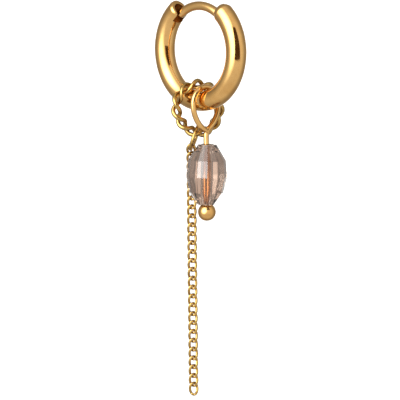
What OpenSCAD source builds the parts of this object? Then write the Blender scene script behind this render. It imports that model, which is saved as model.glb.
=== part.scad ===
// Hinged hoop earring with a twisted ring, a fine curb chain and a faceted crystal on a pin.
// Millimetres, +Z up. The hoop lies in the XZ plane, its hinge end towards +X.
// The origin is the middle of the ear post's centreline, at its highest point, where the ear carries it.

/* [Hoop] */
// Outside diameter of the hoop
hoop_d = 14.75; // [14:0.25:16]
// Thickness of the hoop's round wire
hoop_wire = 2.5; // [2.3:0.1:2.6]
// Angle from the top down to the end that the post snaps into
clasp_end = 34; // [32:1:36]
// Angle from the top down to the hinge end
hinge_end = 35; // [32:1:37]
// Length of the rounded edge at the clasp end
clasp_round = 0.3; // [0.1:0.05:0.5]
// Length of the rounded edge at the hinge end
hinge_round = 0.6; // [0.1:0.05:0.7]
// Width of the snap notch
notch_w = 1.7; // [1.4:0.05:1.75]
// Length of the snap notch along the hoop
notch_len = 1.4; // [1.2:0.05:1.6]

/* [Ear post] */
// Thickness of the ear post
post_d = 1.1; // [0.9:0.05:1.15]
// Angle from the top down to the post's tip
post_tip = 37.5; // [36.5:0.5:38.5]
// Diameter of the hinge pin
pin_d = 0.6; // [0.4:0.05:0.7]
// Length of the hinge pin
pin_len = 1.84; // [1.6:0.02:1.9]
// Angle from the top down to the hinge pin
pin_at = 42; // [41:0.5:44]
// Room each side of the post in the hinge slot
slot_gap = 0.1; // [0.05:0.05:0.15]
// Running clearance round the hinge pin
pin_gap = 0.03; // [0.02:0.01:0.05]

/* [Twisted ring] */
// Outside diameter of the twisted ring
ring_d = 7.4; // [7.2:0.02:7.5]
// Thickness of each strand
strand_d = 0.54; // [0.4:0.02:0.54]
// Thickness of the pair of strands
rope_d = 1.36; // [1.2:0.02:1.4]
// Half turns that the strands make in one round
ring_twists = 11; // [9:2:13]
// Turn of the ring about the vertical
ring_turn = 19; // [0:1:25]

/* [Chain] */
// Number of links
link_count = 28; // [4:1:40]
// Outside width of a link
link_w = 1.24; // [1.16:0.02:1.3]
// Outside length of a link
link_len = 1.81; // [1.7:0.01:1.9]
// Thickness of a link's wire
link_wire = 0.33; // [0.26:0.01:0.34]
// Angle that each end of a link is twisted
link_twist = 45; // [35:1:50]
// Direction that the chain's flat side runs in
chain_turn = 45; // [0:1:90]
// Outside diameter of the jump ring
jump_d = 3.5; // [3.2:0.05:3.6]
// Thickness of the jump ring's wire
jump_wire = 0.44; // [0.3:0.02:0.5]

/* [Crystal drop] */
// Width of the crystal across its corners
bead_w = 5; // [4:0.05:5.2]
// Length of the crystal
bead_len = 7.4; // [6.5:0.1:8]
// Number of facets round the crystal
bead_sides = 12; // [8:2:16]
// Diameter of the hole through the crystal
bead_bore = 1.1; // [0.9:0.05:1.3]
// Diameter of the hole's opened-out mouths
bead_mouth = 1.7; // [1.4:0.05:1.75]
// Thickness of the pin's wire
drop_wire = 0.68; // [0.56:0.02:0.7]
// Diameter of the ball at the pin's end
ball_d = 2.2; // [1.8:0.1:2.6]

/* [Hidden] */
$fn = 64;
small = 0.04;
gold = [0.85, 0.65, 0.35];
chain_gold = [0.80, 0.66, 0.36];
smoke = [0.68, 0.58, 0.52, 0.6];

// Hoop: radius of the centreline, and the hoop's centre below the origin
hoop_r = (hoop_d - hoop_wire) / 2;
post_r = hoop_r - hoop_wire / 2 + post_d / 2 + 0.025;
hoop_z = -post_r;
hoop_foot = hoop_z - hoop_r;
pin_r = post_r + 0.25;
knuckle_r = 0.65;
slot_w = post_d + 2 * slot_gap;
notch_drop = 0.18;

// Twisted ring: it rests on the hoop's inside, a little towards the clasp end
strand_r = strand_d / 2;
rope_r = rope_d / 2 - strand_r;
ring_r = ring_d / 2 - rope_d / 2;
ring_mid = [-0.68, 0.1, hoop_foot + hoop_wire / 2 + 0.78 - ring_r];
ring_first = 57;
ring_loose = 1.6;
ring_loose_at = 34;
ring_dent = 0.38;
ring_dent_at = 218;
ring_steps = 14 * ring_twists;

// Jump ring: through the twisted ring's foot, leaning away from the crystal
jump_r = (jump_d - jump_wire) / 2;
jump_mid = [-1.25, 0.19, -16.11];
jump_turn = 37.4;
jump_lean = 18.6;

// Chain: its first links lean back over the crystal, and the rest hang straight down
link_a = (link_w - link_wire) / 2;
link_b = (link_len - link_wire) / 2;
link_full = 0.35;
link_pitch = 2 * link_b - link_wire - small;
chain_top = [-1.78, 0.07, -17.63];
link_steps = 16;
chain_lean = 16.4;
lean_links = 4;

// Drop: a wire loop over the hoop, a straight pin and a ball
drop_x = 0.92;
drop_turn = 5;
drop_r = drop_wire / 2;
hang_z = hoop_z - sqrt(pow(hoop_r, 2) - pow(drop_x, 2));
loop_r = 2;
side_r = 3.8;
neck_r = 1.2;
loop_z = hang_z + hoop_wire / 2 + drop_r + 0.07 - loop_r;
neck_deg = acos(1 - loop_r / (side_r + neck_r));
neck_drop = (side_r + neck_r) * sin(neck_deg);
tail_deg = 61;
bead_z = hoop_z - 15.3;
bead_lean = 2;
// Rows of the crystal's facets: height above the widest line as a share of the length, radius as a share
bead_rows = [
    [0.530, 0.44],
    [0.270, 0.92],
    [0.000, 1.00],
    [-0.265, 0.83],
    [-0.470, 0.40]
];
bead_turn = 16.7;
bead_foot = bead_z + bead_rows[4][0] * bead_len;
ball_r = ball_d / 2;
ball_z = bead_foot - sqrt(pow(ball_r, 2) - pow(bead_mouth / 2, 2)) - 0.2;
shank_len = loop_z - neck_drop - ball_z;

function two(i) = i < 10 ? str("0", i) : str(i);
function link_name(i) = str("chain_link_", two(i));

function unit(v) = v / norm(v);

// A closed wire along a path, whose sections start from the direction given for each point
module closed_wire(path, starts, wire_r, sides) {
    count = len(path);
    points = [
        for (i = [0:count - 1])
        let (
            along = unit(path[(i + 1) % count] - path[(i + count - 1) % count]),
            out = unit(starts[i] - (starts[i] * along) * along),
            across = cross(along, out)
        )
        for (k = [0:sides - 1])
        path[i] + wire_r * (cos(360 * k / sides) * out + sin(360 * k / sides) * across)
    ];
    faces = [
        for (i = [0:count - 1])
        for (k = [0:sides - 1])
        let (
            a = i * sides + k,
            b = i * sides + (k + 1) % sides,
            c = ((i + 1) % count) * sides + k,
            d = ((i + 1) % count) * sides + (k + 1) % sides
        )
        for (face = [[a, c, d], [a, d, b]])
        face
    ];
    polyhedron(points, faces);
}

// Stands a flat shape's turning axis along Y, so that its angles run in the XZ plane
module upright() {
    rotate([90, 0, 0])
        children();
}

// A round wire bent to an arc in the XZ plane, from one angle on by another, counted from +X to +Z
module arc_wire(bend_r, wire_d, from, by) {
    upright()
        rotate_extrude(angle = by, start = from)
            translate([bend_r, 0])
                circle(d = wire_d);
}

// Trims the edge of a bent wire's cut end round, over the given length. The side is 1 where
// the wire ends at the angle and -1 where it starts there
module end_trim(bend_r, wire_d, angle, side, round_len) {
    trim_r = wire_d / 2 + 0.05;
    back = round_len + sqrt(pow(trim_r, 2) - pow(wire_d / 2, 2));
    rotate([0, side * back / bend_r * 180 / PI - angle, 0])
        translate([bend_r, 0, 0])
            rotate([side > 0 ? 0 : 180, 0, 0])
                difference() {
                    cylinder(r = wire_d, h = wire_d);
                    sphere(r = trim_r);
                }
}

// Room for the post's tip: a round-topped notch, open at the hoop's end and on its inside
module snap_notch() {
    notch_by = (notch_len + 1) / hoop_r * 180 / PI;
    from = 90 + clasp_end - 1 / hoop_r * 180 / PI;
    upright()
        rotate_extrude(angle = notch_by, start = from) {
            translate([hoop_r - notch_drop, 0])
                circle(d = notch_w);
            translate([hoop_r - notch_drop - hoop_wire, -notch_w / 2])
                square([hoop_wire, notch_w]);
        }
}

// Room for the post's hinge end: a straight-sided slot, open at the hoop's end and on its inside
module hinge_slot() {
    slot_top = pin_r + knuckle_r + slot_gap;
    past_pin = (knuckle_r + slot_gap) / pin_r * 180 / PI;
    from = 90 - pin_at - past_pin;
    upright()
        rotate_extrude(angle = pin_at + past_pin - hinge_end + 10, start = from)
            translate([hoop_r - hoop_wire, -slot_w / 2])
                square([slot_top - hoop_r + hoop_wire, slot_w]);
}

// Puts something on the hinge pin's axis, which runs along Y
module at_pin() {
    rotate([0, pin_at, 0])
        translate([0, 0, pin_r])
            rotate([90, 0, 0])
                children();
}

module hoop() {
    from = 90 + clasp_end;
    by = 360 - clasp_end - hinge_end;
    color(gold)
        translate([0, 0, hoop_z])
            difference() {
                arc_wire(hoop_r, hoop_wire, from, by);
                end_trim(hoop_r, hoop_wire, from, -1, clasp_round);
                end_trim(hoop_r, hoop_wire, from + by, 1, hinge_round);
                snap_notch();
                hinge_slot();
                at_pin()
                    cylinder(d = pin_d + 2 * pin_gap, h = pin_len + 2 * pin_gap, center = true);
            }
}

module hinge_pin() {
    color(gold)
        translate([0, 0, hoop_z])
            at_pin()
                cylinder(d = pin_d, h = pin_len, center = true);
}

module ear_post() {
    from = 90 - pin_at;
    by = post_tip + pin_at;
    color(gold)
        translate([0, 0, hoop_z])
            difference() {
                union() {
                    arc_wire(post_r, post_d, from, by);
                    at_pin()
                        cylinder(r = knuckle_r, h = post_d, center = true);
                }
                end_trim(post_r, post_d, from + by, 1, 0.15);
                at_pin()
                    cylinder(d = pin_d + 2 * pin_gap, h = 2 * post_d, center = true);
            }
}

// The ring's own directions: across it, up it, and along its axis
ring_across = [sin(ring_turn), cos(ring_turn), 0];
ring_up = [0, 0, 1];
ring_axis = [cos(ring_turn), -sin(ring_turn), 0];
// How far round the rope a strand has turned. The hand-made twist is looser on one side
function strand_turn(a) =
    ring_twists * (a + ring_loose * cos(a - ring_loose_at) - ring_first) / 2;
function ring_out(a) = cos(a) * ring_across + sin(a) * ring_up;
// Distance of the rope's middle from the ring's. The ring is pressed in a little where it was closed
function rope_at(a) = ring_r - ring_dent * pow((1 + cos(a - ring_dent_at)) / 2, 6);
function strand_out(a) = cos(strand_turn(a)) * ring_out(a) + sin(strand_turn(a)) * ring_axis;
function strand_point(a) = ring_mid + rope_at(a) * ring_out(a) + rope_r * strand_out(a);

module twisted_ring() {
    turns = [for (i = [0:ring_steps - 1]) 720 * i / ring_steps];
    color(chain_gold)
        closed_wire([for (a = turns) strand_point(a)], [for (a = turns) strand_out(a)], strand_r, 8);
}

module jump_ring() {
    color(chain_gold)
        translate(jump_mid)
            rotate([0, 0, jump_turn])
                rotate([0, 90 + jump_lean, 0])
                    rotate_extrude()
                        translate([jump_r, 0])
                            circle(d = jump_wire);
}

// One link: an oval whose ends are twisted opposite ways, so that the chain lies flat
function link_point(t) =
    let (
        side = link_a * cos(t) * (1 + link_full * pow(sin(t), 2)),
        twist = link_twist * sin(t)
    )
    [side * cos(twist), side * sin(twist), link_b * sin(t)];

// How far a link leans, and the place of its middle below the first one's
function link_lean(i) = chain_lean * max(0, 1 - (i - 1) / lean_links);
function link_place(i) =
    i == 1 ? [0, 0, 0] :
    let (lean = (link_lean(i - 1) + link_lean(i)) / 2)
    link_place(i - 1) + link_pitch * [0, sin(lean), -cos(lean)];

module chain_link(i) {
    turns = [for (k = [0:link_steps - 1]) 360 * k / link_steps];
    path = [for (t = turns) link_point(t)];
    color(chain_gold)
        translate(chain_top)
            rotate([0, 0, chain_turn])
                translate(link_place(i))
                    rotate([link_lean(i), 0, 0])
                        closed_wire(path, path, link_wire / 2, 6);
}

module bead_pin() {
    color(gold)
        translate([drop_x, 0, loop_z])
            rotate([0, 0, 90 - drop_turn]) {
                arc_wire(loop_r, drop_wire, 0, 180);
                translate([loop_r - side_r, 0, 0])
                    arc_wire(side_r, drop_wire, -neck_deg, neck_deg);
                translate([side_r - loop_r, 0, 0])
                    arc_wire(side_r, drop_wire, 180, tail_deg);
                translate([neck_r, 0, -neck_drop]) {
                    arc_wire(neck_r, drop_wire, 180 - neck_deg, neck_deg);
                    translate([-neck_r, 0, -shank_len]) {
                        cylinder(r = drop_r, h = shank_len);
                        sphere(r = ball_r);
                    }
                }
            }
}

// The drilled hole, opened out at both of its mouths
module bead_hole() {
    mouth_len = (bead_mouth - bead_bore) / 2;
    cylinder(d = bead_bore, h = 3 * bead_len, center = true);
    for (end = [[bead_rows[0][0], 180], [bead_rows[4][0], 0]])
        translate([0, 0, end[0] * bead_len])
            rotate([end[1], 0, 0])
                translate([0, 0, -mouth_len])
                    cylinder(d1 = 2 * bead_mouth - bead_bore, d2 = bead_bore, h = 2 * mouth_len);
}

module crystal_bead() {
    rows = len(bead_rows);
    points = [
        for (row = bead_rows)
        for (k = [0:bead_sides - 1])
        [
            bead_w / 2 * row[1] * cos(360 * k / bead_sides),
            bead_w / 2 * row[1] * sin(360 * k / bead_sides),
            bead_len * row[0]
        ]
    ];
    bands = [
        for (i = [0:rows - 2])
        for (k = [0:bead_sides - 1])
        [
            i * bead_sides + k,
            i * bead_sides + (k + 1) % bead_sides,
            (i + 1) * bead_sides + (k + 1) % bead_sides,
            (i + 1) * bead_sides + k
        ]
    ];
    table = [for (k = [bead_sides - 1:-1:0]) k];
    base = [for (k = [0:bead_sides - 1]) (rows - 1) * bead_sides + k];
    color(smoke)
        translate([drop_x, 0, bead_z])
            rotate([0, 0, chain_turn])
                rotate([0, bead_lean, 0])
                    rotate([0, 0, bead_turn - chain_turn])
                        difference() {
                            polyhedron(points, concat([table, base], bands));
                            bead_hole();
                        }
}

hoop();
hinge_pin();
ear_post();
twisted_ring();
jump_ring();
bead_pin();
crystal_bead();
for (i = [1:link_count])
    chain_link(i);
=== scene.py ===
from math import acos, asin, cos, degrees, pi, radians, sin, sqrt

import bmesh
import bpy
from mathutils import Matrix, Vector


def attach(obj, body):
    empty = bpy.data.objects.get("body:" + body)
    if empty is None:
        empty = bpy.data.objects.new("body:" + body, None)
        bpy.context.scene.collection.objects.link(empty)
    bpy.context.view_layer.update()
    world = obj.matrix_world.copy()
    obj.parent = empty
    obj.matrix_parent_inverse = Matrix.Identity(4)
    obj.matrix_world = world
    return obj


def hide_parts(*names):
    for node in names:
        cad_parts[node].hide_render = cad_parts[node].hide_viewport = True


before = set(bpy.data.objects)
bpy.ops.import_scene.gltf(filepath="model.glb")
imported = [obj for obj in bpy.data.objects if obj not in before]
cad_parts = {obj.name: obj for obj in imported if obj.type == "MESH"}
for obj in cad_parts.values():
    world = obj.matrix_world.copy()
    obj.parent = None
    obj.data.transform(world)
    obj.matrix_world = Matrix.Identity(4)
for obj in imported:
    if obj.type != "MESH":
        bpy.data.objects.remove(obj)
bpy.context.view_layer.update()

# Hinged hoop earring in gold-plated brass: hoop with a folding ear post, a twisted ring
# with a curb chain, and a smoky crystal on a ball pin. Sizes are written in millimetres.
toMetres = 0.001


def hexColour(code):
    # sRGB hex to the linear colour that the shaders read
    parts = [int(code[i:i + 2], 16) / 255 for i in (1, 3, 5)]
    return tuple(p / 12.92 if p <= 0.04045 else ((p + 0.055) / 1.055) ** 2.4 for p in parts) + (1.0,)


def addNode(tree, kind, settings=None, inputs=None):
    # one node with its settings; an input is a value or another node's output socket
    node = tree.nodes.new(kind)
    for key, value in (settings or {}).items():
        setattr(node, key, value)
    for key, value in (inputs or {}).items():
        if isinstance(value, bpy.types.NodeSocket):
            tree.links.new(value, node.inputs[key])
        else:
            node.inputs[key].default_value = value
    return node


def perMillimetre(size):
    # noise scale that makes features of this many millimetres
    return 1 / (size * toMetres)


# Materials

# where each noise passes from its first value to its second
patchEdges = (0.3, 0.62)
hazeEdges = (0.3, 0.7)

goldLook = {
    "plating": ("#D9A763", "#E9BB78"),   # thin and full places of the plating
    "platingPatch": 2.4,                 # mm
    "roughness": (0.07, 0.16),           # buffed bright, with a faint haze
    "hazePatch": 0.9,                    # mm
    "buffing": 0.25,                     # mm, drawn coarser than real buffing marks so that it shows
    "buffingDepth": 0.0012,              # mm
}

shadedCutLook = {
    "plating": ("#8A5A2A", "#A87438"),   # thin plating on the milled cut, darkened with painted shade for the shadow inside the notch and slot
    "platingPatch": 0.7,
    "roughness": (0.34, 0.5),            # as it was milled
    "hazePatch": 0.4,
    "buffing": 0.09,
    "buffingDepth": 0.004,
}

chainLook = {
    "plating": ("#A9854A", "#CBA662"),
    "platingPatch": 0.8,
    "roughness": (0.12, 0.26),           # bright dipped, never buffed, so a little softer
    "hazePatch": 0.5,
    "buffing": 0.12,
    "buffingDepth": 0.0015,
}

crystalLook = {
    "body": ("#D2B5A2", "#BA9680"),      # smoky mauve, darker towards the foot
    "shadeFrom": -17.0, "shadeTo": -24.3,    # heights in mm
    "shade": 0.8, "cloud": 0.3,          # how much of the colour's change is height, and how much cloud
    "cloudPatch": 3.0,                   # mm
    "ior": 1.54,                         # lead-free cut crystal
    "roughness": 0.0,
    "coat": 0.6, "coatIor": 1.75,        # thin lustre coat that makes the facets flash
}

# the drilled wall is ground, not polished, and carries no coat
boreLook = dict(crystalLook, body=("#E6D6C8", "#DCC8B6"), roughness=0.06, coat=0.0)


def platedMetal(name, look):
    # gold plating: a warm metal whose colour and gloss wander a little
    material = bpy.data.materials.new(name)
    material.use_nodes = True
    tree = material.node_tree
    shader = tree.nodes["Principled BSDF"]
    shader.inputs["Metallic"].default_value = 1.0
    place = addNode(tree, "ShaderNodeTexCoord").outputs["Object"]
    patches = addNode(tree, "ShaderNodeTexNoise", {}, {
        "Vector": place, "Scale": perMillimetre(look["platingPatch"]), "Detail": 3.0, "Roughness": 0.55})
    plating = addNode(tree, "ShaderNodeValToRGB", {}, {"Fac": patches.outputs["Fac"]})
    for stop, edge, code in zip(plating.color_ramp.elements, patchEdges, look["plating"]):
        stop.position = edge
        stop.color = hexColour(code)
    tree.links.new(plating.outputs["Color"], shader.inputs["Base Color"])
    haze = addNode(tree, "ShaderNodeTexNoise", {}, {
        "Vector": place, "Scale": perMillimetre(look["hazePatch"]), "Detail": 4.0})
    gloss = addNode(tree, "ShaderNodeMapRange", {}, {
        "Value": haze.outputs["Fac"], "From Min": hazeEdges[0], "From Max": hazeEdges[1],
        "To Min": look["roughness"][0], "To Max": look["roughness"][1]})
    tree.links.new(gloss.outputs["Result"], shader.inputs["Roughness"])
    marks = addNode(tree, "ShaderNodeTexNoise", {}, {
        "Vector": place, "Scale": perMillimetre(look["buffing"]), "Detail": 2.0})
    relief = addNode(tree, "ShaderNodeBump", {}, {
        "Height": marks.outputs["Fac"], "Strength": 1.0, "Distance": look["buffingDepth"] * toMetres})
    tree.links.new(relief.outputs["Normal"], shader.inputs["Normal"])
    return material


def cutCrystal(name, look):
    # clear smoky crystal: facets mirror at the edges and bend the pin behind them
    material = bpy.data.materials.new(name)
    material.use_nodes = True
    tree = material.node_tree
    shader = tree.nodes["Principled BSDF"]
    values = {"IOR": look["ior"], "Transmission Weight": 1.0, "Roughness": look["roughness"],
              "Coat Weight": look["coat"], "Coat IOR": look["coatIor"], "Coat Roughness": look["roughness"]}
    for key, value in values.items():
        shader.inputs[key].default_value = value
    place = addNode(tree, "ShaderNodeTexCoord").outputs["Object"]
    height = addNode(tree, "ShaderNodeSeparateXYZ", {}, {"Vector": place}).outputs["Z"]
    cloud = addNode(tree, "ShaderNodeTexNoise", {}, {
        "Vector": place, "Scale": perMillimetre(look["cloudPatch"])})
    depth = addNode(tree, "ShaderNodeMapRange", {}, {
        "Value": height, "From Min": look["shadeFrom"] * toMetres, "From Max": look["shadeTo"] * toMetres,
        "To Min": 0.0, "To Max": look["shade"]})
    blend = addNode(tree, "ShaderNodeMath", {"operation": "MULTIPLY_ADD"}, {
        0: cloud.outputs["Fac"], 1: look["cloud"], 2: depth.outputs["Result"]})
    body = addNode(tree, "ShaderNodeValToRGB", {}, {"Fac": blend.outputs["Value"]})
    for stop, code in zip(body.color_ramp.elements, look["body"]):
        stop.color = hexColour(code)
    tree.links.new(body.outputs["Color"], shader.inputs["Base Color"])
    return material


polishedGold = platedMetal("polished gold plating", goldLook)
milledGoldPaintedShade = platedMetal("gold plating over a milled cut, with painted shade", shadedCutLook)
brightGold = platedMetal("bright dipped gold plating", chainLook)
smokyCrystal = cutCrystal("smoky cut crystal", crystalLook)
drilledCrystal = cutCrystal("drilled crystal wall", boreLook)
print("earring: materials made")


# Mesh helpers

def meshFrom(name, vertices, faces, material, smooth=True):
    # a mesh from points in millimetres; a closed one gets its faces turned outwards
    shape = bmesh.new()
    points = [shape.verts.new(Vector(v) * toMetres) for v in vertices]
    for face in faces:
        shape.faces.new([points[i] for i in face])
    bmesh.ops.recalc_face_normals(shape, faces=shape.faces)
    for face in shape.faces:
        face.smooth = smooth
    mesh = bpy.data.meshes.new(name)
    shape.to_mesh(mesh)
    shape.free()
    mesh.materials.append(material)
    piece = bpy.data.objects.new(name, mesh)
    bpy.context.scene.collection.objects.link(piece)
    return piece


def skin(rings):
    # quads between rings of points, with a flat cap at each end
    sides, count = len(rings[0]), len(rings)
    faces = []
    for i in range(count - 1):
        a, b = i * sides, (i + 1) * sides
        faces += [(a + k, a + (k + 1) % sides, b + (k + 1) % sides, b + k) for k in range(sides)]
    faces += [tuple(range(sides)), tuple(range((count - 1) * sides, count * sides))]
    return [p for ring in rings for p in ring], faces


def wireRing(middle, outward, across, radius, sides):
    # one round section of a wire
    return [middle + radius * (cos(2 * pi * k / sides) * outward + sin(2 * pi * k / sides) * across)
            for k in range(sides)]


def applyModifiers(piece, *helpers):
    # bakes the modifiers into a plain mesh and clears away the shapes that they used
    graph = bpy.context.evaluated_depsgraph_get()
    mesh = bpy.data.meshes.new_from_object(piece.evaluated_get(graph))
    piece.modifiers.clear()
    old, piece.data = piece.data, mesh
    name = old.name
    bpy.data.meshes.remove(old)
    mesh.name = name
    for helper in helpers:
        bpy.data.objects.remove(helper)
    return piece


def cutWith(piece, tool, operation="DIFFERENCE"):
    # cuts the tool's shape out of the piece, or joins it on
    modifier = piece.modifiers.new(tool.name, "BOOLEAN")
    modifier.operation = operation
    modifier.object = tool
    modifier.solver = "EXACT"
    return modifier


def arcSweep(profile, turns, middle):
    # a flat outline of (distance from the middle, across) swept round the hoop's axis
    rings = [[Vector((r * cos(t), y, r * sin(t))) + middle for r, y in profile] for t in turns]
    return skin(rings)


def spread(start, stop, count):
    # evenly spaced values, both ends included
    return [start + (stop - start) * i / (count - 1) for i in range(count)]


# Hoop

hoopShape = {
    "diameter": 14.75,
    "wire": 2.5,
    "claspEnd": 34, "claspRound": 0.3,      # degrees from the top, mm
    "hingeEnd": 35, "hingeRound": 0.6,
    "edgeRound": 0.1,
    "notch": {"width": 1.7, "length": 1.4, "drop": 0.18, "archSteps": 33, "steps": 13},
    # the slot's top is a radius in mm, and its ends are degrees past the pin and the hoop's end
    "slot": {"halfWidth": 0.65, "top": 6.45, "pastPin": 7.54, "pastEnd": 10, "pinAt": 42, "steps": 17},
    "cutEdge": 0.035, "cutEdgeFrom": 50,    # softened edges of the cuts: mm, degrees
    "sharpFrom": 38,
    "steps": 220, "sides": 72,
}
endBallOver = 0.05          # mm that the ball rounding a wire's end is larger than the wire
endSteps, trimSteps = 5, 6
postRadius = 5.45
hoopMiddle = Vector((0, 0, -postRadius))
hoopRadius = (hoopShape["diameter"] - hoopShape["wire"]) / 2


def trimmedRadius(wireRadius, roundLength, along):
    # radius of a wire whose end is trimmed round by a ball slightly larger than the wire
    ball = wireRadius + endBallOver
    back = roundLength + sqrt(ball ** 2 - wireRadius ** 2)
    return wireRadius if along >= roundLength else sqrt(ball ** 2 - (back - along) ** 2)


def endSections(wireRadius, roundLength, edge):
    # (distance from the end, radius) pairs that round the end off, outermost first
    turns = spread(pi / 2, 0, endSteps)
    start = trimmedRadius(wireRadius, roundLength, edge)
    rows = [(edge * (1 - sin(t)), start - edge * (1 - cos(t))) for t in turns]
    for s in spread(edge, max(roundLength, edge), trimSteps)[1:]:
        rows.append((s, trimmedRadius(wireRadius, roundLength, s)))
    return rows


def bentWire(bendRadius, wireRadius, turns, startRows, endRows, sides):
    # rings of a wire bent in the hoop's plane, from turns[0] to turns[1] in radians
    total = (turns[1] - turns[0]) * bendRadius
    startReach = startRows[-1][0] if startRows else 0
    endReach = endRows[-1][0] if endRows else 0
    middleRows = [(s, wireRadius) for s in spread(startReach, total - endReach, hoopShape["steps"])]
    rows = startRows[:-1] + middleRows + [(total - s, r) for s, r in reversed(endRows[:-1])]
    rings = []
    for along, radius in rows:
        turn = turns[0] + along / bendRadius
        outward = Vector((cos(turn), 0, sin(turn)))
        rings.append(wireRing(hoopMiddle + bendRadius * outward, outward, Vector((0, 1, 0)), radius, sides))
    return rings


def makeHoop():
    h = hoopShape
    wireRadius = h["wire"] / 2
    turns = radians(90 + h["claspEnd"]), radians(90 + 360 - h["hingeEnd"])
    rings = bentWire(hoopRadius, wireRadius, turns,
                     endSections(wireRadius, h["claspRound"], h["edgeRound"]),
                     endSections(wireRadius, h["hingeRound"], h["edgeRound"]), h["sides"])
    hoop = meshFrom("hoop_tube", *skin(rings), polishedGold)
    notch, slot = h["notch"], h["slot"]
    half, middle = notch["width"] / 2, hoopRadius - notch["drop"]
    arch = [(middle + half * cos(t), half * sin(t)) for t in spread(-pi / 2, pi / 2, notch["archSteps"])]
    arch += [(middle - h["wire"], half), (middle - h["wire"], -half)]
    perMm = 1 / hoopRadius      # radians along the hoop for each mm; the tool starts 1 mm outside
    notchTurns = spread(turns[0] - perMm, turns[0] + notch["length"] * perMm, notch["steps"])
    notchTool = meshFrom("notch tool", *arcSweep(arch, notchTurns, hoopMiddle), milledGoldPaintedShade)
    box = [(slot["top"], -slot["halfWidth"]), (slot["top"], slot["halfWidth"]),
           (hoopRadius - h["wire"], slot["halfWidth"]), (hoopRadius - h["wire"], -slot["halfWidth"])]
    slotStart = 90 - slot["pinAt"] - slot["pastPin"]
    slotEnd = 90 - h["hingeEnd"] + slot["pastEnd"]
    slotTurns = [radians(t) for t in spread(slotStart, slotEnd, slot["steps"])]
    slotTool = meshFrom("slot tool", *arcSweep(box, slotTurns, hoopMiddle), milledGoldPaintedShade)
    # the cut faces take the milled plating whose colour is darkened with painted shade
    for tool in (notchTool, slotTool):
        cutWith(hoop, tool).material_mode = "TRANSFER"
    edge = hoop.modifiers.new("soft edges", "BEVEL")
    edge.width = h["cutEdge"] * toMetres
    edge.segments = 2
    edge.limit_method = "ANGLE"
    edge.angle_limit = radians(h["cutEdgeFrom"])
    applyModifiers(hoop, notchTool, slotTool)
    hoop.data.shade_smooth()
    hoop.data.set_sharp_from_angle(angle=radians(h["sharpFrom"]))
    return hoop


hoopTube = makeHoop()
print("earring: hoop made,", len(hoopTube.data.polygons), "faces")


# Ear post

postShape = {
    "wire": 1.1,
    "tip": 37.5, "tipRound": 0.15, "tipEdge": 0.12,
    "pinAt": 42, "pinRadius": 5.70,
    "knuckle": 0.65, "knuckleEdge": 0.05, "knuckleSides": 64,
    "pinHole": 0.33, "holeEdge": 0.01, "holeSides": 48,
    "sharpFrom": 40,
    "sides": 48,
}


def drum(name, radius, halfWidth, edge, sides):
    # a short cylinder on the hinge pin's axis, with rounded edges
    edgeSteps = 4
    turn = radians(90 - postShape["pinAt"])
    middle = hoopMiddle + postShape["pinRadius"] * Vector((cos(turn), 0, sin(turn)))
    rows = [(-halfWidth + edge * (1 - cos(t)), radius - edge * (1 - sin(t)))
            for t in spread(0, pi / 2, edgeSteps)]
    rows += [(-y, r) for y, r in reversed(rows)]
    rings = [wireRing(middle + Vector((0, y, 0)), Vector((1, 0, 0)), Vector((0, 0, 1)), r, sides)
             for y, r in rows]
    return meshFrom(name, *skin(rings), polishedGold)


def makePost():
    p = postShape
    wireRadius = p["wire"] / 2
    turns = radians(90 + p["tip"]), radians(90 - p["pinAt"])
    rings = bentWire(postRadius, wireRadius, turns[::-1], [],
                     endSections(wireRadius, p["tipRound"], p["tipEdge"]), p["sides"])
    post = meshFrom("ear_post_wire", *skin(rings), polishedGold)
    eye = drum("post eye", p["knuckle"], wireRadius, p["knuckleEdge"], p["knuckleSides"])
    hole = drum("post hole", p["pinHole"], p["wire"], p["holeEdge"], p["holeSides"])
    cutWith(post, eye, "UNION")
    cutWith(post, hole)
    applyModifiers(post, eye, hole)
    post.data.shade_smooth()
    post.data.set_sharp_from_angle(angle=radians(p["sharpFrom"]))
    return post


earPost = makePost()
print("earring: ear post made,", len(earPost.data.polygons), "faces")


# Jump ring

jumpShape = {
    "diameter": 3.5,
    "wire": 0.44,
    "middle": (-1.25, 0.19, -16.11),
    "turn": 37.4, "lean": 18.6,
    "seam": 0.03, "seamAt": 100,     # mm, degrees: the ring's closing cut, turned to the back
    "cutEdge": 0.02, "cutSteps": 4, "sharpFrom": 50,
    "steps": 110, "sides": 22,
}


def makeJumpRing():
    j = jumpShape
    wireRadius = j["wire"] / 2
    bend = (j["diameter"] - j["wire"]) / 2
    stand = Matrix.Rotation(radians(j["turn"]), 3, "Z") @ Matrix.Rotation(radians(90 + j["lean"]), 3, "Y")
    edge = j["cutEdge"]
    ends = [(edge * (1 - sin(t)), wireRadius - edge * (1 - cos(t))) for t in spread(pi / 2, 0, j["cutSteps"])]
    total = 2 * pi * bend - j["seam"]
    rows = ends[:-1] + [(s, wireRadius) for s in spread(edge, total - edge, j["steps"])]
    rows += [(total - s, r) for s, r in reversed(ends[:-1])]
    rings = []
    for along, radius in rows:
        turn = radians(j["seamAt"]) + (along + j["seam"] / 2) / bend
        outward = stand @ Vector((cos(turn), sin(turn), 0))
        rings.append(wireRing(Vector(j["middle"]) + bend * outward, outward, stand @ Vector((0, 0, 1)),
                              radius, j["sides"]))
    ring = meshFrom("jump_ring_wire", *skin(rings), brightGold)
    ring.data.set_sharp_from_angle(angle=radians(j["sharpFrom"]))
    return ring


jumpRing = makeJumpRing()


# Bead pin: loop, shank and ball in one wire

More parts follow.
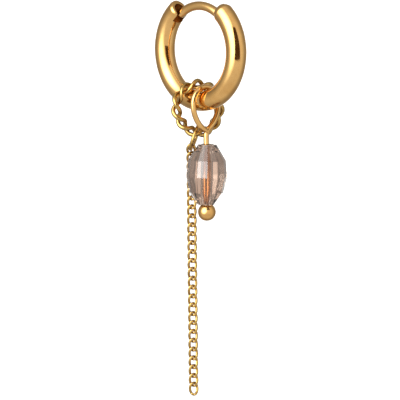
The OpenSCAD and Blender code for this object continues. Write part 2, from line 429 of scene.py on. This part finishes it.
pinShape = {
    "wire": 0.68,
    "along": 0.92, "turn": 5,            # place along the hoop in mm, turn in degrees
    "loop": 2.0, "side": 3.8, "neck": 1.2,    # radii of the bends
    "clear": 0.07,                       # mm between the loop and the hoop's foot
    "tail": 61,                          # degrees of the free end's bend
    "tailHollow": 0.14, "tailBore": 0.55,    # mm, and a share of the wire
    "tailFrom": 0.15, "tailSteps": 6,
    "ball": 2.2,
    "ballSink": 0.2,                     # mm that the ball hangs below its seat in the crystal's mouth
    "ballFoot": 0.004, "ballSteps": 40, "shankSteps": 30,
    "arcStep": 3.0, "sharpFrom": 50,     # degrees
    "sides": 40,
}

beadShape = {
    "width": 5.0, "length": 7.4, "sides": 12, "bore": 1.1, "mouth": 1.7,
    "turn": 16.7, "lean": 2, "leanTo": 45,   # degrees
    "below": 15.3,                       # mm from the hoop's middle
    # facet corners as shares: (height above the middle by the length, distance out by half the width)
    "rows": ((0.530, 0.44), (0.270, 0.92), (0.0, 1.0), (-0.265, 0.83), (-0.470, 0.40)),
    "edge": 0.02, "edgeFrom": 12,        # polished edges: mm, degrees
    "boreSides": 40,
}
hangHeight = hoopMiddle.z - sqrt(hoopRadius ** 2 - pinShape["along"] ** 2)
beadMiddle = Vector((pinShape["along"], 0, hoopMiddle.z - beadShape["below"]))


def arcPath(x, z, radius, start, stop, outward=1):
    # (x, z, normal x, normal z) along an arc in the loop's plane, angles in degrees
    count = max(2, int(abs(stop - start) / pinShape["arcStep"]) + 1)
    rows = []
    for turn in spread(radians(start), radians(stop), count):
        across, rise = cos(turn), sin(turn)
        rows.append((x + radius * across, z + radius * rise, outward * across, outward * rise))
    return rows


def makeBeadPin():
    p = pinShape
    wireRadius, ballRadius = p["wire"] / 2, p["ball"] / 2
    loopHeight = hangHeight + hoopShape["wire"] / 2 + wireRadius + p["clear"] - p["loop"]
    neckTurn = degrees(acos(1 - p["loop"] / (p["side"] + p["neck"])))
    neckDrop = (p["side"] + p["neck"]) * sin(radians(neckTurn))
    beadFoot = beadMiddle.z + beadShape["rows"][-1][0] * beadShape["length"]
    ballHeight = beadFoot - sqrt(ballRadius ** 2 - (beadShape["mouth"] / 2) ** 2) - p["ballSink"] - loopHeight
    shift = p["side"] - p["loop"]
    path = arcPath(shift, 0, p["side"], 180 + p["tail"], 180)
    path += arcPath(0, 0, p["loop"], 180, 0)[1:]
    path += arcPath(-shift, 0, p["side"], 0, -neckTurn)[1:]
    path += arcPath(p["neck"], -neckDrop, p["neck"], 180 - neckTurn, 180, -1)[1:]
    rows = [(row, wireRadius) for row in path]
    meet = ballHeight + sqrt(ballRadius ** 2 - wireRadius ** 2)
    rows += [((0, z, 1, 0), wireRadius) for z in spread(-neckDrop, meet, p["shankSteps"])[1:]]
    for turn in spread(asin(wireRadius / ballRadius), pi, p["ballSteps"])[1:]:
        width = max(ballRadius * sin(turn), p["ballFoot"])
        rows.append(((0, ballHeight + ballRadius * cos(turn), 1, 0), width))
    # the wire's cut end is slightly hollow and lies against the shank
    x, z, nx, nz = rows[0][0]
    tail = radians(180 + p["tail"])
    cap = []
    for turn in spread(p["tailFrom"], pi / 2, p["tailSteps"])[:-1]:
        reach = p["tailHollow"] * sin(turn)
        width = wireRadius * (p["tailBore"] + (1 - p["tailBore"]) * sin(turn))
        cap.append(((x - sin(tail) * reach, z + cos(tail) * reach, nx, nz), width))
    rows = cap + rows
    stand = Matrix.Rotation(radians(90 - p["turn"]), 3, "Z")
    middle = Vector((p["along"], 0, loopHeight))
    rings = []
    for (x, z, nx, nz), radius in rows:
        rings.append(wireRing(middle + stand @ Vector((x, 0, z)), stand @ Vector((nx, 0, nz)),
                              stand @ Vector((0, 1, 0)), radius, p["sides"]))
    pin = meshFrom("bead_pin_wire", *skin(rings), polishedGold)
    pin.data.set_sharp_from_angle(angle=radians(p["sharpFrom"]))
    return pin


beadPin = makeBeadPin()
print("earring: jump ring and bead pin made")


# Crystal

def makeCrystal():
    b = beadShape
    stand = (Matrix.Rotation(radians(b["leanTo"]), 3, "Z") @ Matrix.Rotation(radians(b["lean"]), 3, "Y")
             @ Matrix.Rotation(radians(b["turn"] - b["leanTo"]), 3, "Z"))
    rings = [[beadMiddle + stand @ Vector((b["width"] / 2 * wide * cos(2 * pi * k / b["sides"]),
                                           b["width"] / 2 * wide * sin(2 * pi * k / b["sides"]),
                                           b["length"] * high)) for k in range(b["sides"])]
             for high, wide in b["rows"]]
    crystal = meshFrom("crystal_facets", *skin(rings), smokyCrystal, smooth=False)
    # the drilled hole, opened out at both mouths
    flare = (b["mouth"] - b["bore"]) / 2
    foot, top = b["rows"][-1][0] * b["length"], b["rows"][0][0] * b["length"]
    profile = [(foot - flare, b["mouth"] / 2 + flare), (foot + flare, b["bore"] / 2),
               (top - flare, b["bore"] / 2), (top + flare, b["mouth"] / 2 + flare)]
    across, deep = stand @ Vector((1, 0, 0)), stand @ Vector((0, 1, 0))
    walls = [wireRing(beadMiddle + stand @ Vector((0, 0, z)), across, deep, radius, b["boreSides"])
             for z, radius in profile]
    drill = meshFrom("drill", *skin(walls), drilledCrystal)
    edge = crystal.modifiers.new("polished edges", "BEVEL")
    edge.width = b["edge"] * toMetres
    edge.segments = 1
    edge.limit_method = "ANGLE"
    edge.angle_limit = radians(b["edgeFrom"])
    cutWith(crystal, drill).material_mode = "TRANSFER"
    return applyModifiers(crystal, drill)


crystal = makeCrystal()
print("earring: crystal made,", len(crystal.data.polygons), "faces")


# Geometry Nodes

def startTree(name, sizes):
    # a tree with a named number input for each size, in the order given
    tree = bpy.data.node_groups.new(name, "GeometryNodeTree")
    tree.interface.new_socket("Geometry", in_out="INPUT", socket_type="NodeSocketGeometry")
    for key, value in sizes.items():
        tree.interface.new_socket(key, in_out="INPUT", socket_type="NodeSocketFloat").default_value = value
    tree.interface.new_socket("Geometry", in_out="OUTPUT", socket_type="NodeSocketGeometry")
    return tree, tree.nodes.new("NodeGroupInput"), tree.nodes.new("NodeGroupOutput")


def growWith(piece, tree, sizes):
    # runs the tree on the piece, with each input set by its identifier, and bakes the result
    modifier = piece.modifiers.new(tree.name, "NODES")
    modifier.node_group = tree
    for item in tree.interface.items_tree:
        if item.item_type == "SOCKET" and item.in_out == "INPUT" and item.name in sizes:
            modifier[item.identifier] = float(sizes[item.name])
    return applyModifiers(piece)


def emptyPiece(name, points):
    # an object with loose points only, for a tree to grow on
    mesh = bpy.data.meshes.new(name)
    mesh.from_pydata([Vector(p) * toMetres for p in points], [], [])
    piece = bpy.data.objects.new(name, mesh)
    bpy.context.scene.collection.objects.link(piece)
    return piece


# Twisted ring: one wire that runs twice round, twisted with itself

halfTwists = 11         # an odd number, so the two strands are one wire
pointsPerHalfTwist = 26
twistSizes = {
    "Ring radius": 3.02, "Rope radius": 0.41, "Strand radius": 0.27,
    "Half twists": halfTwists, "First twist": 57, "Loose by": 1.6, "Loose at": 34,
    "Dent": 0.38, "Dent at": 218,
    "Points": 2 * halfTwists * pointsPerHalfTwist, "Strand sides": 18,
}
hangingTop = hoopMiddle.z - hoopRadius + hoopShape["wire"] / 2      # the inside of the hoop's foot
twistPlace = {"along": -0.68, "across": 0.1, "overHoop": 0.78, "turn": 19}


def twistTree(sizes, place):
    tree, given, made = startTree("twisted wire", sizes)
    known = {socket.name: socket for socket in given.outputs if socket.name}
    known["index"] = addNode(tree, "GeometryNodeInputIndex").outputs["Index"]
    # the strand's path, one step to a line: its name, the operation, then known names or numbers
    for name, operation, *terms in (
            ("angles", "MULTIPLY", "index", 4 * pi),
            ("around", "DIVIDE", "angles", "Points"),
            ("loose place", "RADIANS", "Loose at"),
            ("from loose", "SUBTRACT", "around", "loose place"),
            ("loose share", "COSINE", "from loose"),
            ("loose most", "RADIANS", "Loose by"),
            ("loose", "MULTIPLY", "loose most", "loose share"),
            ("shifted", "ADD", "around", "loose"),
            ("first", "RADIANS", "First twist"),
            ("from first", "SUBTRACT", "shifted", "first"),
            ("half angle", "MULTIPLY", "from first", 0.5),
            ("twist", "MULTIPLY", "half angle", "Half twists"),
            ("dent place", "RADIANS", "Dent at"),
            ("from dent", "SUBTRACT", "around", "dent place"),
            ("dent wave", "COSINE", "from dent"),
            ("dent share", "MULTIPLY_ADD", "dent wave", 0.5, 0.5),
            ("dent form", "POWER", "dent share", 6.0),
            ("dent depth", "MULTIPLY", "Dent", "dent form"),
            ("rope at", "SUBTRACT", "Ring radius", "dent depth"),
            ("twist out", "COSINE", "twist"),
            ("out", "MULTIPLY_ADD", "twist out", "Rope radius", "rope at"),
            ("twist side", "SINE", "twist"),
            ("other way", "MULTIPLY", "Rope radius", -1.0),
            ("side", "MULTIPLY", "twist side", "other way"),
            ("cosine", "COSINE", "around"),
            ("sine", "SINE", "around"),
            ("x", "MULTIPLY", "out", "cosine"),
            ("z", "MULTIPLY", "out", "sine")):
        inputs = {i: known.get(term, term) for i, term in enumerate(terms)}
        known[name] = addNode(tree, "ShaderNodeMath", {"operation": operation}, inputs).outputs["Value"]
    spot = addNode(tree, "ShaderNodeCombineXYZ", {}, {
        "X": known["x"], "Y": known["side"], "Z": known["z"]}).outputs["Vector"]
    circle = addNode(tree, "GeometryNodeCurvePrimitiveCircle", {}, {"Resolution": known["Points"]})
    path = addNode(tree, "GeometryNodeSetPosition", {}, {
        "Geometry": circle.outputs["Curve"], "Position": spot})
    section = addNode(tree, "GeometryNodeCurvePrimitiveCircle", {}, {
        "Resolution": known["Strand sides"], "Radius": known["Strand radius"]})
    wire = addNode(tree, "GeometryNodeCurveToMesh", {}, {
        "Curve": path.outputs["Geometry"], "Profile Curve": section.outputs["Curve"]})
    height = hangingTop + place["overHoop"] - sizes["Ring radius"]
    middle = Vector((place["along"], place["across"], height))
    hung = addNode(tree, "GeometryNodeTransform", {}, {
        "Geometry": wire.outputs["Mesh"],
        "Translation": tuple(middle * toMetres),
        "Rotation": (0.0, 0.0, radians(90 - place["turn"])),
        "Scale": (toMetres, toMetres, toMetres)})
    real = addNode(tree, "GeometryNodeRealizeInstances", {}, {"Geometry": hung.outputs["Geometry"]})
    finish = addNode(tree, "GeometryNodeSetMaterial", {}, {
        "Geometry": real.outputs["Geometry"], "Material": brightGold})
    tree.links.new(finish.outputs["Geometry"], made.inputs["Geometry"])
    return tree


twistedRing = emptyPiece("twisted_wire_ring", [(0, 0, 0)])
twistedRing = growWith(twistedRing, twistTree(twistSizes, twistPlace), twistSizes)
print("earring: twisted ring made,", len(twistedRing.data.polygons), "faces")


# Chain

linkSizes = {
    "Half width": 0.455, "Half length": 0.74, "Wire radius": 0.165,
    "Full": 0.35, "Twist": 45, "Flat": 0.285,
    "Points": 44, "Wire sides": 12,
}
chainShape = {
    "links": 28, "top": (-1.78, 0.07, -17.63), "turn": 45, "gap": 0.04,
    "lean": 16.4, "leanLinks": 4,
    "sharpFrom": 42,
}


def linkPlaces(shape, link):
    # the middle of each link and how far it leans: the first few lie back over the crystal
    pitch = 2 * link["Half length"] - 2 * link["Wire radius"] - shape["gap"]
    leans = [radians(shape["lean"] * max(0, 1 - i / shape["leanLinks"])) for i in range(shape["links"] + 1)]
    turn = Matrix.Rotation(radians(shape["turn"]), 3, "Z")
    spot, places = Vector((0, 0, 0)), []
    for i in range(shape["links"]):
        places.append(Vector(shape["top"]) + turn @ spot)
        lean = (leans[i] + leans[i + 1]) / 2
        spot = spot + pitch * Vector((0, sin(lean), -cos(lean)))
    return places, leans[:-1]


def chainTree(sizes, shape):
    tree, given, made = startTree("curb chain", sizes)
    known = {socket.name: socket for socket in given.outputs if socket.name}
    known["index"] = addNode(tree, "GeometryNodeInputIndex").outputs["Index"]
    where = addNode(tree, "GeometryNodeInputPosition").outputs["Position"]
    split = addNode(tree, "ShaderNodeSeparateXYZ", {}, {"Vector": where})
    known["wire y"] = split.outputs["Y"]
    # the link's path, one step to a line: its name, the operation, then known names or numbers
    for name, operation, *terms in (
            ("angles", "MULTIPLY", "index", 2 * pi),
            ("around", "DIVIDE", "angles", "Points"),
            ("rise", "SINE", "around"),
            ("rise squared", "MULTIPLY", "rise", "rise"),
            ("fuller", "MULTIPLY_ADD", "rise squared", "Full", 1.0),
            ("across", "COSINE", "around"),
            ("oval side", "MULTIPLY", "Half width", "across"),
            ("side", "MULTIPLY", "oval side", "fuller"),
            ("most twist", "RADIANS", "Twist"),
            ("twist", "MULTIPLY", "most twist", "rise"),
            ("cosine", "COSINE", "twist"),
            ("sine", "SINE", "twist"),
            ("x", "MULTIPLY", "side", "cosine"),
            ("y", "MULTIPLY", "side", "sine"),
            ("z", "MULTIPLY", "Half length", "rise"),
            # both faces of the chain are pressed flat, which is what makes a curb chain glitter
            ("back face", "MULTIPLY", "Flat", -1.0),
            ("back pressed", "MAXIMUM", "wire y", "back face"),
            ("pressed", "MINIMUM", "back pressed", "Flat")):
        inputs = {i: known.get(term, term) for i, term in enumerate(terms)}
        known[name] = addNode(tree, "ShaderNodeMath", {"operation": operation}, inputs).outputs["Value"]
    spot = addNode(tree, "ShaderNodeCombineXYZ", {}, {
        "X": known["x"], "Y": known["y"], "Z": known["z"]}).outputs["Vector"]
    circle = addNode(tree, "GeometryNodeCurvePrimitiveCircle", {}, {"Resolution": known["Points"]})
    path = addNode(tree, "GeometryNodeSetPosition", {}, {
        "Geometry": circle.outputs["Curve"], "Position": spot})
    section = addNode(tree, "GeometryNodeCurvePrimitiveCircle", {}, {
        "Resolution": known["Wire sides"], "Radius": known["Wire radius"]})
    wire = addNode(tree, "GeometryNodeCurveToMesh", {}, {
        "Curve": path.outputs["Geometry"], "Profile Curve": section.outputs["Curve"]})
    flat = addNode(tree, "ShaderNodeCombineXYZ", {}, {
        "X": split.outputs["X"], "Y": known["pressed"], "Z": split.outputs["Z"]}).outputs["Vector"]
    link = addNode(tree, "GeometryNodeSetPosition", {}, {"Geometry": wire.outputs["Mesh"], "Position": flat})
    lean = addNode(tree, "GeometryNodeInputNamedAttribute", {"data_type": "FLOAT"}, {"Name": "lean"})
    stand = addNode(tree, "ShaderNodeCombineXYZ", {}, {
        "X": lean.outputs["Attribute"], "Z": radians(shape["turn"])}).outputs["Vector"]
    links = addNode(tree, "GeometryNodeInstanceOnPoints", {}, {
        "Points": given.outputs["Geometry"], "Instance": link.outputs["Geometry"],
        "Rotation": stand, "Scale": (toMetres, toMetres, toMetres)})
    real = addNode(tree, "GeometryNodeRealizeInstances", {}, {"Geometry": links.outputs["Instances"]})
    finish = addNode(tree, "GeometryNodeSetMaterial", {}, {
        "Geometry": real.outputs["Geometry"], "Material": brightGold})
    tree.links.new(finish.outputs["Geometry"], made.inputs["Geometry"])
    return tree


places, leans = linkPlaces(chainShape, linkSizes)
chain = emptyPiece("curb_chain", places)
chain.data.attributes.new("lean", "FLOAT", "POINT").data.foreach_set("value", leans)
chain = growWith(chain, chainTree(linkSizes, chainShape), linkSizes)
print("earring: chain made,", len(chain.data.polygons), "faces")

for grown in (twistedRing, chain):
    grown.data.shade_smooth()
chain.data.set_sharp_from_angle(angle=radians(chainShape["sharpFrom"]))


# Which CAD nodes the pieces stand for

links = ["chain_link_%02d" % (i + 1) for i in range(chainShape["links"])]
for piece, body, slot, nodes in (
        (hoopTube, "hoop", "polished_gold", ["hoop"]),
        (twistedRing, "hoop", "chain_gold", ["twisted_ring"]),
        (jumpRing, "hoop", "chain_gold", ["jump_ring"]),
        (chain, "hoop", "chain_gold", links),
        (earPost, "post", "polished_gold", ["ear_post"]),
        (beadPin, "drop", "polished_gold", ["bead_pin"]),
        (crystal, "bead", "smoky_crystal", ["crystal_bead"])):
    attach(piece, body)
    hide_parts(*nodes)

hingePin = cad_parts["hinge_pin"]
hingePin.data.materials.clear()
hingePin.data.materials.append(polishedGold)


# Studio

studio = {
    "tentColour": "#FFFCF7",
    "front": 1.0, "rear": 0.36,      # brightness of the tent on the camera's side and behind the earring
    "below": 0.8,
    # cosines of the angle from the camera's side, and from straight up, where the tent changes
    "rearUntil": -0.5, "frontFrom": 0.6, "belowUntil": -0.7, "aboveFrom": 0.05,
    "backdrop": {"glow": 1.1, "reach": 21, "soft": 7},   # the white paper straight behind, degrees
    "floorDrop": 52.0,               # mm below the ear post
    "floorReach": 3000.0,            # mm each way
    "floorGlow": 0.32, "floorGrain": 40.0, "floorTones": ("#F7F6F3", "#FBFAF8"),
    "windowColour": "#EFFAFF",
    "window": {"azimuth": -40, "height": 21, "wide": 30, "high": 32, "soft": 0.5, "glow": 4.6},
    "matt": 0.9,
}
# a dark card close to the earring that glows a painted dark brown: its reflections are the brown patches on
# the hoop and the ball
darkCard = {
    "azimuth": 24, "far": 24,
    "foot": -5.5, "top": 17, "footWidth": (-14, 9), "topWidth": (-6, 5),
    # shade is the card's painted glow, a dark brown that stands in for dim warm light falling on it
    "colour": (0.006, 0.005, 0.004, 1), "shade": "#4A2E12",
}
cameraView = {
    "azimuth": 45, "height": 3.0, "roll": -0.57,
    "far": 300.0,               # mm from the hoop's middle
    "pitch": 3.471,             # degrees down from the hoop's middle to the picture's middle
    "focal": 2462.5, "frame": 400,     # pixels
    "sensor": 36.0,             # mm
    "nearest": 0.01, "furthest": 20,   # metres
}


def cameraAxes(view):
    # the camera's right, up and back before it is pitched
    a, e, r = radians(view["azimuth"]), radians(view["height"]), radians(view["roll"])
    right = Vector((cos(a), sin(a), 0))
    back = Vector((sin(a) * cos(e), -cos(a) * cos(e), sin(e)))
    up = back.cross(right)
    return cos(r) * right + sin(r) * up, cos(r) * up - sin(r) * right, back


def towards(azimuth, height, far):
    # a place seen from the hoop: azimuth counts from the camera towards its right hand
    a, e = radians(cameraView["azimuth"] + azimuth), radians(height)
    return Vector((sin(a) * cos(e), -cos(a) * cos(e), sin(e))) * far + hoopMiddle


def makeCamera():
    right, up, back = cameraAxes(cameraView)
    place = hoopMiddle + back * cameraView["far"]
    p = radians(cameraView["pitch"])
    lookBack = cos(p) * back + sin(p) * up
    lookUp = cos(p) * up - sin(p) * back
    data = bpy.data.cameras.new("camera")
    data.sensor_width = cameraView["sensor"]
    data.lens = cameraView["focal"] / cameraView["frame"] * data.sensor_width
    data.clip_start, data.clip_end = cameraView["nearest"], cameraView["furthest"]
    camera = bpy.data.objects.new("camera", data)
    turn = Matrix((right, lookUp, lookBack)).transposed().to_4x4()
    camera.matrix_world = Matrix.Translation(place * toMetres) @ turn
    bpy.context.scene.collection.objects.link(camera)
    bpy.context.scene.camera = camera


def makeFloor():
    # seen by the camera and by matt surfaces only, so that the gold mirrors the tent
    half, height = studio["floorReach"], -studio["floorDrop"]
    corners = [(x * half, y * half, height) for x, y in ((-1, -1), (1, -1), (1, 1), (-1, 1))]
    floor = meshFrom("floor", corners, [(0, 1, 2, 3)], paperWhite())
    floor.visible_glossy = False
    floor.visible_transmission = False


def paperWhite():
    # matt white paper that glows a little, as it does when it is lit to pure white
    material = bpy.data.materials.new("white paper sweep")
    material.use_nodes = True
    tree = material.node_tree
    shader = tree.nodes["Principled BSDF"]
    place = addNode(tree, "ShaderNodeTexCoord").outputs["Object"]
    grain = addNode(tree, "ShaderNodeTexNoise", {}, {
        "Vector": place, "Scale": perMillimetre(studio["floorGrain"])})
    tone = addNode(tree, "ShaderNodeValToRGB", {}, {"Fac": grain.outputs["Fac"]})
    for stop, code in zip(tone.color_ramp.elements, studio["floorTones"]):
        stop.color = hexColour(code)
    tree.links.new(tone.outputs["Color"], shader.inputs["Base Color"])
    shader.inputs["Roughness"].default_value = studio["matt"]
    shader.inputs["Emission Color"].default_value = (1, 1, 1, 1)
    shader.inputs["Emission Strength"].default_value = studio["floorGlow"]
    return material


def makeWorld():
    # a pale tent, dimmer behind the earring apart from the white paper straight behind it, with one
    # soft-edged window to the front left
    world = bpy.data.worlds.new("white tent")
    bpy.context.scene.world = world
    world.use_nodes = True
    tree = world.node_tree
    ray = addNode(tree, "ShaderNodeTexCoord").outputs["Generated"]
    back = cameraAxes(cameraView)[2]
    paper, w = studio["backdrop"], studio["window"]
    facing = (towards(w["azimuth"], w["height"], 1) - hoopMiddle).normalized()
    side = Vector((0, 0, 1)).cross(facing).normalized()
    known = {}
    # how far each ray points towards a direction, then the steps that use it, in order
    for name, direction in (("to camera", back), ("up", (0, 0, 1)), ("to window", facing),
                            ("window side", side), ("window up", facing.cross(side))):
        known[name] = addNode(tree, "ShaderNodeVectorMath", {"operation": "DOT_PRODUCT"},
                              {0: ray, 1: tuple(direction)}).outputs["Value"]
    shapes = (
        ("away", "MULTIPLY", "to camera", -1.0),
        ("wide", "DIVIDE", "window side", sin(radians(w["wide"]))),
        ("high", "DIVIDE", "window up", sin(radians(w["high"]))),
        ("wide squared", "POWER", "wide", 2.0),
        ("high squared", "POWER", "high", 2.0),
        ("both squared", "ADD", "wide squared", "high squared"),
        ("off window", "SQRT", "both squared"),
        ("in front", "GREATER_THAN", "to window", 0.0))
    fades = (
        ("tent", "to camera", studio["rearUntil"], studio["frontFrom"], studio["rear"], studio["front"]),
        ("lower tent", "up", studio["belowUntil"], studio["aboveFrom"], studio["below"], studio["front"]),
        ("paper", "away", cos(radians(paper["reach"] + paper["soft"])),
         cos(radians(paper["reach"] - paper["soft"])), 0.0, paper["glow"]),
        ("glow", "off window", 1 - w["soft"], 1 + w["soft"], w["glow"], 0.0))
    sums = (
        ("darker", "MINIMUM", "tent", "lower tent"),
        ("all round", "ADD", "darker", "paper"),
        ("daylight", "MULTIPLY", "glow", "in front"))
    for name, operation, *terms in shapes:
        inputs = {i: known.get(term, term) for i, term in enumerate(terms)}
        known[name] = addNode(tree, "ShaderNodeMath", {"operation": operation}, inputs).outputs["Value"]
    for name, value, start, stop, low, high in fades:
        known[name] = addNode(tree, "ShaderNodeMapRange", {"interpolation_type": "SMOOTHSTEP"}, {
            "Value": known[value], "From Min": start, "From Max": stop,
            "To Min": low, "To Max": high}).outputs["Result"]
    for name, operation, *terms in sums:
        inputs = {i: known[term] for i, term in enumerate(terms)}
        known[name] = addNode(tree, "ShaderNodeMath", {"operation": operation}, inputs).outputs["Value"]
    background = tree.nodes["Background"]
    background.inputs["Color"].default_value = hexColour(studio["tentColour"])
    tree.links.new(known["all round"], background.inputs["Strength"])
    daylight = addNode(tree, "ShaderNodeBackground", {}, {
        "Color": hexColour(studio["windowColour"]), "Strength": known["daylight"]})
    both = addNode(tree, "ShaderNodeAddShader", {}, {0: background.outputs[0], 1: daylight.outputs[0]})
    tree.links.new(both.outputs[0], tree.nodes["World Output"].inputs["Surface"])


def makeDarkCard():
    # a nearly black matt card that glows a painted dark brown in place of dim light on it, so its reflections
    # are dark brown; the camera doesn't see it directly
    d = darkCard
    place = towards(d["azimuth"], 0, d["far"])
    side = Vector((0, 0, 1)).cross(place - hoopMiddle).normalized()
    corners = [place + side * x + Vector((0, 0, z))
               for x, z in ((d["footWidth"][0], d["foot"]), (d["footWidth"][1], d["foot"]),
                            (d["topWidth"][1], d["top"]), (d["topWidth"][0], d["top"]))]
    material = bpy.data.materials.new("black card with painted brown glow")
    material.use_nodes = True
    shader = material.node_tree.nodes["Principled BSDF"]
    shader.inputs["Base Color"].default_value = d["colour"]
    shader.inputs["Roughness"].default_value = studio["matt"]
    # painted glow: the card lights itself dark brown
    shader.inputs["Emission Color"].default_value = hexColour(d["shade"])
    shader.inputs["Emission Strength"].default_value = 1.0
    card = meshFrom("black_card", corners, [(0, 1, 2, 3)], material)
    card.visible_camera = False
    card.visible_diffuse = False
    card.visible_shadow = False


makeCamera()
makeFloor()
makeWorld()
makeDarkCard()
bpy.context.scene.view_settings.view_transform = "Standard"
print("earring: studio set")
